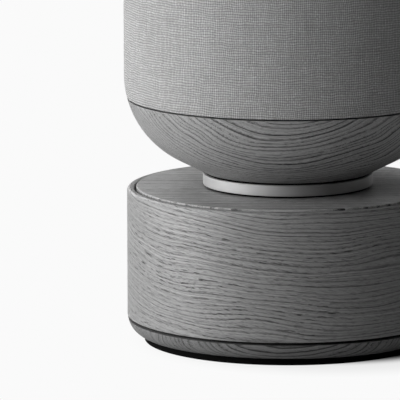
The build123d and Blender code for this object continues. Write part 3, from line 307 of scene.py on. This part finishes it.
# Pores: most of them in the first part of each ring, and more open in some patches than in others
porous = sums(oak, "MULTIPLY_ADD", between(phase, 0.6, 0.25), 0.85, 0.15)
open_grown = between(noise(oak, grained, (14, 55, 55)).outputs[0], 0.4, 0.6)
open_grown = sums(oak, "MULTIPLY_ADD", open_grown, 0.55, 0.45)
pore_rate = sums(oak, "DIVIDE", 1.0, given["Pore Length"])
pore_across = sums(oak, "DIVIDE", 1.0, given["Pore Width"])
pore_scale = add(
    oak, "ShaderNodeCombineXYZ", {"X": pore_rate, "Y": pore_across, "Z": pore_across}
).outputs[0]
pores = between(drawn_out(pore_scale, 1.0), 0.57, 0.63)
pores = sums(oak, "MULTIPLY", sums(oak, "MULTIPLY", pores, porous), open_grown)
fine_pores = between(drawn_out((300, 2200, 2200), 1.0), 0.53, 0.63)

# Colour, gloss and relief: pale wood with fibres, clouds and streaks, darkened by the edges and the pores
fibres = drawn_out((20, 900, 900), 2.0)
clouds = noise(oak, grained, (5, 70, 70)).outputs[0]
streaks = add(
    oak, "ShaderNodeTexNoise", {"W": rings, "Scale": 3.1, "Detail": 2.0}, noise_dimensions="1D"
).outputs[0]
pale = sums(oak, "MULTIPLY_ADD", fibres, 0.4, sums(oak, "MULTIPLY_ADD", clouds, 0.3, 0.7))
pale = sums(oak, "MULTIPLY", pale, sums(oak, "MULTIPLY_ADD", streaks, 1.0, 0.5))
darkening = sums(oak, "MULTIPLY", edge, given["Ring Depth"])
pale = sums(oak, "MULTIPLY", pale, sums(oak, "SUBTRACT", 1.0, darkening))
pale = sums(oak, "MULTIPLY", pale, sums(oak, "MULTIPLY_ADD", pores, -0.85, 1.0))
pale = sums(oak, "MULTIPLY", pale, sums(oak, "MULTIPLY_ADD", fine_pores, -0.3, 1.0))
oak.links.new(sums(oak, "MULTIPLY", pale, given["Tone"]), result["Color"])
oak.links.new(sums(oak, "MULTIPLY_ADD", pores, 0.15, 0.43), result["Roughness"])
relief = sums(oak, "ADD", sums(oak, "MULTIPLY", pores, -1.0), sums(oak, "MULTIPLY", edge, -0.5))
oak.links.new(sums(oak, "ADD", relief, sums(oak, "MULTIPLY", fibres, 0.12)), result["Height"])


def solid_place(tree):
    """Place in a piece that is cut from solid wood, with its fibres along X."""
    return add(tree, "ShaderNodeTexCoord", {}).outputs["Object"]


def oiled(name, place, tone, pith, ring, ring_depth, pore, wander, seed, sweep=0.0, shine=0.9):
    """Oiled oak, with its own part of the grain.

    Its pith line crosses X = 0 at pith's Y and Z. A ring has a width, and a pore a length and a width.
    """
    feeds = {
        "Place": place, "Tone": tone, "Pith Y": pith[0], "Pith Z": pith[1], "Ring Width": ring,
        "Ring Depth": ring_depth, "Pore Length": pore[0], "Pore Width": pore[1],
        "Wander": (0, wander, wander), "Sweep": sweep, "Seed": seed,
    }
    return finished(name, oak, feeds, relief=0.0003, Specular_IOR_Level=shine)


oak_tone = 0.37
trim_low, trim_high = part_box("trim_ring")
trim_bottom_radius = 0.0908
trim_inner_radius = 0.068
trim_bulge_radius = 0.013
groove_reach = 0.0002
trim = turned(
    "oak_trim_ring",
    np.vstack(
        [
            [
                (trim_inner_radius, trim_low.z),
                (foot_high.x - foot_width - groove_reach, trim_low.z),
                (foot_high.x - foot_width - groove_reach, foot_high.z),
                (foot_high.x + groove_reach, foot_high.z),
                (foot_high.x + groove_reach, trim_low.z),
            ],
            bulge((trim_bottom_radius, trim_low.z), (trim_high.x, trim_high.z), trim_bulge_radius),
            [(trim_inner_radius, trim_high.z)],
        ]
    ),
)
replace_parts(trim, "trim_ring")
# Painted shade: the trim ring's oak is given two thirds of the oak's tone for its downward-facing bulge,
# though it is the same oak.
trim_oak = oiled(
    "trim_oak", solid_place, tone=0.67 * oak_tone, pith=(0.5, -0.1), ring=0.003, ring_depth=1.2,
    pore=(0.005, 0.0009), wander=0.03, seed=3.0,
)
wears(trim, trim_oak)

# Tray, screws and boards: the moulded tray closes the base, and its rim is the dark seam over the trim
# ring. It and the grille frame, which shows as the seam over the bowl, are near black: partly their own
# matt black plastic, partly painted shade for the shadow in those two seams. All the CAD pieces that the
# oak and cloth hide keep their own solids, each with its slot's finish.
turned_metal, given, result = effect(
    "turned_metal", {"Color": "Color", "Roughness": "Float", "Lines": "Float"}
)
object_place = add(turned_metal, "ShaderNodeTexCoord", {}).outputs["Object"]
axes = add(turned_metal, "ShaderNodeSeparateXYZ", {"Vector": object_place}).outputs
flat_place = add(turned_metal, "ShaderNodeCombineXYZ", {"X": axes["X"], "Y": axes["Y"]}).outputs[0]
out = add(turned_metal, "ShaderNodeVectorMath", {0: flat_place}, operation="LENGTH").outputs["Value"]
lathe_place = sums(turned_metal, "MULTIPLY", sums(turned_metal, "ADD", out, axes["Z"]), given["Lines"])
lines = add(
    turned_metal, "ShaderNodeTexNoise", {"W": lathe_place, "Scale": 1.0, "Detail": 2.0},
    noise_dimensions="1D",
).outputs[0]
cloud = noise(turned_metal, object_place, (90, 90, 90)).outputs[0]
shade = sums(turned_metal, "MULTIPLY_ADD", cloud, 0.15, 0.925)
turned_metal.links.new(
    add(
        turned_metal, "ShaderNodeVectorMath", {0: given["Color"], "Scale": shade}, operation="SCALE"
    ).outputs[0],
    result["Color"],
)
gloss = sums(turned_metal, "MULTIPLY_ADD", lines, 0.12, -0.06)
turned_metal.links.new(sums(turned_metal, "ADD", given["Roughness"], gloss), result["Roughness"])
turned_metal.links.new(lines, result["Height"])


def grey(level):
    """A neutral colour."""
    return (level, level, level, 1)


def moulding(name, color, roughness, grain=2500.0):
    """A moulded or painted finish."""
    feeds = {"Color": color, "Roughness": roughness, "Grain": grain}
    return finished(name, moulded, feeds, relief=0.00005)


def metal(name, color, roughness, lines=4000.0):
    """A machined metal finish."""
    feeds = {"Color": color, "Roughness": roughness, "Lines": lines}
    return finished(name, turned_metal, feeds, relief=0.00002, Metallic=1.0)


slot_finish = {
    "black_plastic": moulding("black_plastic", grey(0.018), 0.5),
    "foot_rubber": foot_rubber,
    "surround_rubber": moulding("surround_rubber", grey(0.02), 0.6),
    "driver_frame_metal": moulding("driver_frame_metal", grey(0.04), 0.45),
    "ferrite": moulding("ferrite", grey(0.06), 0.7),
    "cone_paper": moulding("cone_paper", grey(0.05), 0.8, 900.0),
    "spider_cloth": moulding("spider_cloth", (0.33, 0.29, 0.2, 1), 0.9, 900.0),
    "circuit_board": moulding("circuit_board", (0.03, 0.12, 0.06, 1), 0.4),
    "component_case": moulding("component_case", (0.05, 0.05, 0.06, 1), 0.3),
    # Dark grey, not bare cast aluminium: painted shade for the groove round the disc, where the casting
    # shows.
    "cast_aluminium": metal("cast_aluminium", grey(0.05), 0.6, 600.0),
    "zinc_steel": metal("zinc_steel", grey(0.55), 0.35),
    "satin_aluminium": metal("satin_aluminium", grey(0.53), 0.7),
}
for subpart in frame["record"]["subparts"]:
    slot = subpart["material_slot"]
    if slot in slot_finish:
        wears(frame["nodes"][subpart["node"]], slot_finish[slot])
# Near black: the plastic's own black with painted shade for the seams over the trim ring and the bowl.
seam_shade_black = moulding("matt_black_and_seam_shade", grey(0.004), 0.8)
for node in ("base_tray", "grille_frame"):
    wears(frame["nodes"][node], seam_shade_black)

# Base shell: a thick round wall with a rounded rim, a rebate for the disc in its top and a window for
# the connector panel at its back. Oak veneer is wrapped round it, with its joint over the window. It keeps
# the CAD surface, merged and smoothed, but with a lower rim, so that the disc stands a little proud of it.
merge_distance = 1e-6


def smoothed(node, name):
    """A copy of a CAD node's surface as a new piece, with its points merged to make its rounds smooth."""
    merged = bmesh.new()
    merged.from_mesh(frame["nodes"][node].data)
    bmesh.ops.remove_doubles(merged, verts=merged.verts, dist=merge_distance)
    mesh = bpy.data.meshes.new(name)
    merged.to_mesh(mesh)
    merged.free()
    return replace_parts(settled(mesh), node)


shell = smoothed("base_shell", "oak_base_shell")
shell_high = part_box("base_shell")[1]
shell_rim_round = 0.0019
shell_rim_margin = 0.0002
shell_rim_drop = 0.001
shell_rim_start = shell_high.z - shell_rim_round - shell_rim_margin
shell_points = np.empty((len(shell.data.vertices), 3), np.float32)
shell.data.vertices.foreach_get("co", shell_points.ravel())
shell_points[shell_points[:, 2] > shell_rim_start, 2] -= shell_rim_drop
shell.data.vertices.foreach_set("co", shell_points.ravel())
shell.data.update()


def wrapped_place(tree):
    """Place in veneer that is wrapped round the base: the way round, the radius and the height."""
    axes = add(tree, "ShaderNodeSeparateXYZ", {0: solid_place(tree)}).outputs
    turn = sums(tree, "ARCTAN2", axes["X"], sums(tree, "MULTIPLY", axes["Y"], -1.0))
    flat_place = add(tree, "ShaderNodeCombineXYZ", {"X": axes["X"], "Y": axes["Y"]}).outputs[0]
    out = add(tree, "ShaderNodeVectorMath", {0: flat_place}, operation="LENGTH").outputs["Value"]
    around = sums(tree, "MULTIPLY", turn, shell_high.x)
    return add(tree, "ShaderNodeCombineXYZ", {"X": around, "Y": out, "Z": axes["Z"]}).outputs[0]


shell_oak = oiled(
    "shell_oak", wrapped_place, tone=oak_tone, pith=(0.3, -0.2), ring=0.0022, ring_depth=0.6,
    pore=(0.0055, 0.00065), wander=0.02, seed=17.0, sweep=0.45,
)
wears(shell, shell_oak)

# Base disc: a round oak board laid in the rebate, with a narrow dark gap around it, and a little proud
# of the rim. Its edge is eased, and the metal neck passes through its middle.
disc_low, disc_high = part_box("base_top_disc")
neck_hole = 0.0303
disc_edge = 0.0006
disc_hidden_edge = 0.0002
disc = turned(
    "oak_base_disc",
    rounded(
        [
            (neck_hole, disc_low.z, disc_hidden_edge),
            (disc_high.x, disc_low.z, disc_hidden_edge),
            (disc_high.x, disc_high.z, disc_edge),
            (neck_hole, disc_high.z, disc_hidden_edge),
        ]
    ),
)
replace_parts(disc, "base_top_disc")
# Painted light: the disc's oak is a third paler than the shell's and mirrors less, the paler tone standing
# in for light, though it is the same oak.
disc_oak = oiled(
    "disc_oak", solid_place, tone=1.33 * oak_tone, pith=(0.6, 0.0), ring=0.006, ring_depth=0.9,
    pore=(0.008, 0.0006), wander=0.012, seed=7.0, shine=0.5,
)
wears(disc, disc_oak)

# Neck ring: an aluminium ring, turned and satin finished, between two black rubber gaskets that are
# set back, so that they show as dark lines above and below it. Those lines are partly real shade in the
# recess and partly painted shade: the gaskets' near-black rubber stands in for the shadow in the gaps.
ring_wall = 0.014
ring_edge = 0.0004
gasket_edge = 0.0002
ring_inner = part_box("neck_ring")[1].x - ring_wall
for node, piece_name, eased, finish in (
    ("neck_ring", "satin_neck_ring", ring_edge, "satin_aluminium"),
    ("lower_neck_gasket", "lower_gasket", gasket_edge, "foot_rubber"),
    ("upper_neck_gasket", "upper_gasket", gasket_edge, "foot_rubber"),
):
    ring_low, ring_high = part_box(node)
    ring = turned(
        piece_name,
        rounded(
            [
                (ring_inner, ring_low.z, eased),
                (ring_high.x, ring_low.z, eased),
                (ring_high.x, ring_high.z, eased),
                (ring_inner, ring_high.z, eased),
            ]
        ),
    )
    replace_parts(ring, node)
    wears(ring, slot_finish[finish])

# Bowl: turned from oak across its grain, so that the rings show as nested curves. A straight taper
# rises from the neck and runs on into a round belly; the rim and ledge inside carry the cabinet.
bowl_low, bowl_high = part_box("oak_bowl")
sleeve_low, sleeve_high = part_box("fabric_sleeve")
belly_round = 0.0572
bowl_mouth = 0.0514
bowl_wall = 0.010
bowl_floor_thickness = 0.008
bowl_rim_width = 0.0061
bowl_ledge_depth = 0.005
belly_r = sleeve_high.x - belly_round
belly_z = bowl_high.z + sqrt(belly_round**2 - (bowl_high.x - belly_r) ** 2)


def belly(start, end, inset=0.0, steps=32):
    """Points on the round belly between two angles about its centre, in degrees, moved inwards."""
    turn = np.radians(np.linspace(start, end, steps))
    out = np.stack([np.cos(turn), np.sin(turn)], axis=-1)
    return np.array([belly_r, belly_z]) + (belly_round - inset) * out


def belly_angle(height, inset=0.0):
    """Angle about the belly's centre, in degrees, of its point at a height."""
    return np.degrees(np.arcsin((height - belly_z) / (belly_round - inset)))


reach = np.array([bowl_mouth - belly_r, bowl_low.z - belly_z])
taper_angle = np.degrees(np.arctan2(reach[1], reach[0]) + np.arccos(belly_round / np.linalg.norm(reach)))
bowl_rim = bowl_high.x - bowl_rim_width
bowl_ledge = bowl_high.z - bowl_ledge_depth
bowl_floor = bowl_low.z + bowl_floor_thickness
inner_taper = belly(taper_angle, taper_angle, bowl_wall, 1)[0]
taper_slope = np.tan(np.radians(90 + taper_angle))
bowl = turned(
    "oak_bowl_turned",
    np.vstack(
        [
            [(neck_hole, bowl_low.z), (bowl_mouth, bowl_low.z)],
            belly(taper_angle, belly_angle(bowl_high.z)),
            [(bowl_rim, bowl_high.z), (bowl_rim, bowl_ledge)],
            belly(belly_angle(bowl_ledge, bowl_wall), taper_angle, bowl_wall),
            [
                (inner_taper[0] - (inner_taper[1] - bowl_floor) / taper_slope, bowl_floor),
                (neck_hole, bowl_floor),
            ],
        ]
    ),
)
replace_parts(bowl, "oak_bowl")
# Painted light: the bowl's oak is a fifth paler than the shell's, for the light its downward-facing belly
# gets, though it is the same oak.
bowl_oak = oiled(
    "bowl_oak", solid_place, tone=1.2 * oak_tone, pith=(0.6, -0.35), ring=0.0034, ring_depth=1.0,
    pore=(0.009, 0.00065), wander=0.03, seed=23.0,
)
wears(bowl, bowl_oak)

# Sleeve: a plain-woven melange cloth, sewn to a tube, pulled over the slotted grille frame and tucked in
# at its top edge. It is stretched smooth, from the seam over the bowl to the touch plate.
cloth_thickness = 0.0008
shoulder_round = 0.014
shoulder = np.array([sleeve_high.x - shoulder_round, sleeve_high.z - shoulder_round])


def sleeve_side(inset):
    """Outline of the cloth from its lower edge to the top: belly, straight wall and round shoulder."""
    turn = np.radians(np.linspace(0, 90, 24))
    over = shoulder + (shoulder_round - inset) * np.stack([np.cos(turn), np.sin(turn)], axis=-1)
    return np.vstack([belly(belly_angle(sleeve_low.z, inset), 0, inset, 16), over])


sleeve = turned(
    "woven_sleeve", np.vstack([sleeve_side(0.0), sleeve_side(cloth_thickness)[::-1]]), turns=720
)
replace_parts(sleeve, "fabric_sleeve")

# Plain weave: warp threads run up and weft threads run round, and take turns on top. Each thread is
# rounded and has a tone of its own, which drifts along it in slubs. Its colour is also painted with shade
# where it dives under and with a highlight on its crown.
weave, given, result = effect(
    "plain_weave", {"Tone": "Float", "Warp Count": "Float", "Weft Count": "Float", "Contrast": "Float"}
)
flat_cloth = add(weave, "ShaderNodeUVMap", {}).outputs[0]
cloth_place = add(weave, "ShaderNodeSeparateXYZ", {"Vector": flat_cloth}).outputs
wavering = add(
    weave, "ShaderNodeTexNoise", {"Vector": flat_cloth, "Scale": 120.0, "Detail": 1.0}
).outputs["Color"]
wavering = add(weave, "ShaderNodeSeparateXYZ", {"Vector": wavering}).outputs
waver = 1.6
warp_count = sums(weave, "MULTIPLY", cloth_place["X"], given["Warp Count"])
warp_count = sums(weave, "MULTIPLY_ADD", wavering["X"], waver, warp_count)
weft_count = sums(weave, "MULTIPLY", cloth_place["Y"], given["Weft Count"])
weft_count = sums(weave, "MULTIPLY_ADD", wavering["Y"], waver, weft_count)


def thread(own, other, seed):
    """Tone and height of one set of threads, counted by own and running along other."""
    number = sums(weave, "FLOOR", own)
    apart = sums(weave, "MULTIPLY", number, 7.31)
    drift = sums(weave, "MULTIPLY", other, 0.06)
    slub_place = add(weave, "ShaderNodeCombineXYZ", {"X": apart, "Y": drift, "Z": seed}).outputs[0]
    slub = add(
        weave, "ShaderNodeTexNoise", {"Vector": slub_place, "Scale": 1.0, "Detail": 2.0}
    ).outputs[0]
    aside = sums(weave, "MULTIPLY_ADD", sums(weave, "FRACT", own), 2.0, -1.0)
    ahead = sums(weave, "MULTIPLY_ADD", sums(weave, "FRACT", other), 2.0, -1.0)
    dip = sums(weave, "MULTIPLY", sums(weave, "MULTIPLY", ahead, ahead), 0.9)
    fall = sums(weave, "MULTIPLY_ADD", aside, aside, dip)
    return slub, sums(weave, "MULTIPLY_ADD", fall, -0.5, 1.0)


warp_tone, warp_height = thread(warp_count, weft_count, 1.7)
weft_tone, weft_height = thread(weft_count, warp_count, 9.3)
warp_number = sums(weave, "FLOOR", warp_count)
weft_number = sums(weave, "FLOOR", weft_count)
turn_about = sums(weave, "FLOORED_MODULO", sums(weave, "ADD", warp_number, weft_number), 2.0)
tone = add(weave, "ShaderNodeMix", {"Factor": turn_about, "A": warp_tone, "B": weft_tone}).outputs[0]
height = add(
    weave, "ShaderNodeMix", {"Factor": turn_about, "A": warp_height, "B": weft_height}
).outputs[0]
crossing = add(weave, "ShaderNodeCombineXYZ", {"X": warp_number, "Y": weft_number}).outputs[0]
speck = add(
    weave, "ShaderNodeTexWhiteNoise", {"Vector": crossing}, noise_dimensions="2D"
).outputs["Value"]
tone = sums(weave, "MULTIPLY_ADD", sums(weave, "SUBTRACT", tone, 0.5), given["Contrast"], 1.0)
tone = sums(weave, "MULTIPLY", tone, sums(weave, "MULTIPLY_ADD", speck, 0.16, 0.92))
# Painted shade and highlight: the colour follows the thread's height, dark between threads, pale on
# crowns.
tone = sums(weave, "MULTIPLY", tone, sums(weave, "MULTIPLY_ADD", height, 1.35, 0.08))
weave.links.new(sums(weave, "MULTIPLY", tone, given["Tone"]), result["Color"])
weave.links.new(sums(weave, "MULTIPLY_ADD", height, -0.1, 0.9), result["Roughness"])
weave.links.new(height, result["Height"])

warp_pitch = 0.0012
weft_pitch = 0.00145
sleeve_round = 2 * np.pi * sleeve_high.x
warp_threads = 2 * round(sleeve_round / warp_pitch / 2)
sleeve_cloth = finished(
    "woven_fabric",
    weave,
    {
        "Tone": 0.5, "Contrast": 0.6, "Warp Count": warp_threads / sleeve_round,
        "Weft Count": 1 / weft_pitch,
    },
    relief=0.0003,
    Sheen_Weight=0.06,
    Sheen_Roughness=0.5,
    Specular_IOR_Level=0.2,
)
wears(sleeve, sleeve_cloth)

# Touch plate: a thin aluminium plate, dished a little towards its middle, that closes the top of the
# speaker inside the cloth's edge. It has a ring of small microphone holes.
plate = smoothed("top_plate", "touch_plate")
wears(plate, slot_finish["satin_aluminium"])

# Camera: far away with a long lens, a little above the base, aimed so that the speaker stands at the
# right of the picture and its top is out of it, as in the photograph.
photo_side = 400.0
lens_pixels = 5908.9
axis_pixel = (288.0, 133.4)
camera_pitch = radians(8.931)
camera_place = (0, -3.56395, 0.68711)
ahead = Vector((0, cos(camera_pitch), -sin(camera_pitch)))
above = Vector((0, sin(camera_pitch), cos(camera_pitch)))
aim = ahead + Vector((1, 0, 0)) * (photo_side / 2 - axis_pixel[0]) / lens_pixels
aim = (aim + above * (axis_pixel[1] - photo_side / 2) / lens_pixels).normalized()
beside = (Vector((1, 0, 0)) - aim * aim.x).normalized()
camera = bpy.data.objects.new("camera", bpy.data.cameras.new("camera"))
camera.data.sensor_width = 36.0
camera.data.lens = camera.data.sensor_width * lens_pixels / photo_side
camera.matrix_world = Matrix((beside, beside.cross(aim), -aim)).transposed().to_4x4()
camera.location = camera_place
bpy.context.scene.collection.objects.link(camera)
bpy.context.scene.camera = camera

# Light: a long low key near the left front, soft lights round the left side, a weak fill from the front
# and little at the right, which falls into shade. The last one is behind, and only the back sees it.
light_target = Vector((0, 0, 0.19))


def soft_light(name, azimuth, elevation, power, distance=1.8, wide=1.0, high=1.0):
    """An area light, at an azimuth from the front towards +X and an elevation, aimed at the speaker."""
    lamp = bpy.data.lights.new(name, "AREA")
    lamp.shape = "RECTANGLE"
    lamp.size, lamp.size_y = wide, high
    lamp.energy = power
    turn, lift = radians(azimuth), radians(elevation)
    out = Vector((sin(turn) * cos(lift), -cos(turn) * cos(lift), sin(lift)))
    placed = bpy.data.objects.new(name, lamp)
    placed.visible_camera = False
    placed.location = light_target + out * distance
    placed.rotation_euler = out.to_track_quat("Z", "Y").to_euler()
    bpy.context.scene.collection.objects.link(placed)


soft_light("key", azimuth=-78, elevation=-5, power=2.5, distance=0.8, wide=0.8, high=0.12)
soft_light("left", azimuth=-80, elevation=5, power=6.3)
soft_light("left_high", azimuth=-100, elevation=30, power=3.4)
soft_light("rim", azimuth=-150, elevation=30, power=10.0)
soft_light("rim_high", azimuth=-150, elevation=55, power=3.2)
soft_light("fill", azimuth=-40, elevation=30, power=7.9)
soft_light("front", azimuth=-15, elevation=30, power=0.9)
soft_light("right", azimuth=110, elevation=5, power=1.0)
soft_light("behind", azimuth=160, elevation=0, power=3.0, high=0.5)

# Stage: a white floor and a white world, evenly white to the camera. Near the foot a mask lets the grey
# lit floor show through the white, with its real shadow; the mask is centred right of the foot's middle,
# so the shade near the foot, which reaches further at the right, is partly painted shade. What oak and
# metal mirror of the world is bright only at the left, and they mirror little of the floor.
paper = 0.956
mirrored_paper = 0.9
mirrored_floor = 0.1
half_floor = 15.0
floor_grey = 0.55
shadow_centre = (0.03, 0.0, 0.0)
shadow_core = (0.067, 0.090, 0.0)
shadow_fringe = (0.086, 0.13, 0.84)
floor_mesh = bpy.data.meshes.new("floor")
floor_mesh.from_pydata(
    [(-half_floor, -half_floor, 0), (half_floor, -half_floor, 0), (half_floor, half_floor, 0),
     (-half_floor, half_floor, 0)],
    [],
    [(0, 1, 2, 3)],
)
floor = bpy.data.objects.new("floor", floor_mesh)
bpy.context.scene.collection.objects.link(floor)
floor_paper = bpy.data.materials.new("floor_paper")
floor_paper.use_nodes = True
tree = floor_paper.node_tree
tree.nodes.remove(tree.nodes["Principled BSDF"])


def seen_and_mirrored(tree):
    """1 for what the camera sees, and 1 for what it sees mirrored or through glass."""
    path = add(tree, "ShaderNodeLightPath", {}).outputs
    other = sums(tree, "MAXIMUM", path["Is Glossy Ray"], path["Is Transmission Ray"])
    return path["Is Camera Ray"], other


seen, mirrored = seen_and_mirrored(tree)
# Painted shadow mask: the white's share is least round a point right of the middle and is whole beyond the
# fringe.
away = add(
    tree, "ShaderNodeVectorMath",
    {0: add(tree, "ShaderNodeTexCoord", {}).outputs["Object"], 1: shadow_centre},
    operation="DISTANCE",
).outputs["Value"]
clear = sums(tree, "MULTIPLY", *(
    add(
        tree, "ShaderNodeMapRange",
        {"Value": away, "From Min": start, "From Max": end, "To Min": least, "To Max": 1.0},
        interpolation_type="SMOOTHSTEP",
    ).outputs[0]
    for start, end, least in (shadow_core, shadow_fringe)
))
floor_mirrored = sums(tree, "MULTIPLY", mirrored, mirrored_floor)
clear = sums(tree, "MULTIPLY", clear, sums(tree, "MAXIMUM", seen, floor_mirrored))
lit = add(tree, "ShaderNodeBsdfDiffuse", {"Color": grey(floor_grey)}).outputs[0]
white = add(tree, "ShaderNodeEmission", {"Color": grey(paper), "Strength": 1.0}).outputs[0]
shown = add(tree, "ShaderNodeMixShader", {0: clear, 1: lit, 2: white}).outputs[0]
tree.links.new(shown, tree.nodes["Material Output"].inputs["Surface"])
floor_mesh.materials.append(floor_paper)

world = bpy.data.worlds.new("studio")
world.use_nodes = True
bpy.context.scene.world = world
tree = world.node_tree
seen, mirrored = seen_and_mirrored(tree)
bright_side = Vector((-1.0, 0.25, 0.0)).normalized()
bright_from, bright_to = 0.1, 0.75
way = add(tree, "ShaderNodeTexCoord", {}).outputs["Generated"]
aside = add(
    tree, "ShaderNodeVectorMath", {0: way, 1: bright_side}, operation="DOT_PRODUCT"
).outputs["Value"]
panel = add(
    tree, "ShaderNodeMapRange", {"Value": aside, "From Min": bright_from, "From Max": bright_to},
    interpolation_type="SMOOTHSTEP",
).outputs[0]
world_mirrored = sums(tree, "MULTIPLY", sums(tree, "MULTIPLY", mirrored, panel), mirrored_paper)
level = sums(tree, "MAXIMUM", sums(tree, "MULTIPLY", seen, paper), world_mirrored)
tree.links.new(level, tree.nodes["Background"].inputs["Color"])
bpy.context.scene.view_settings.view_transform = "Standard"
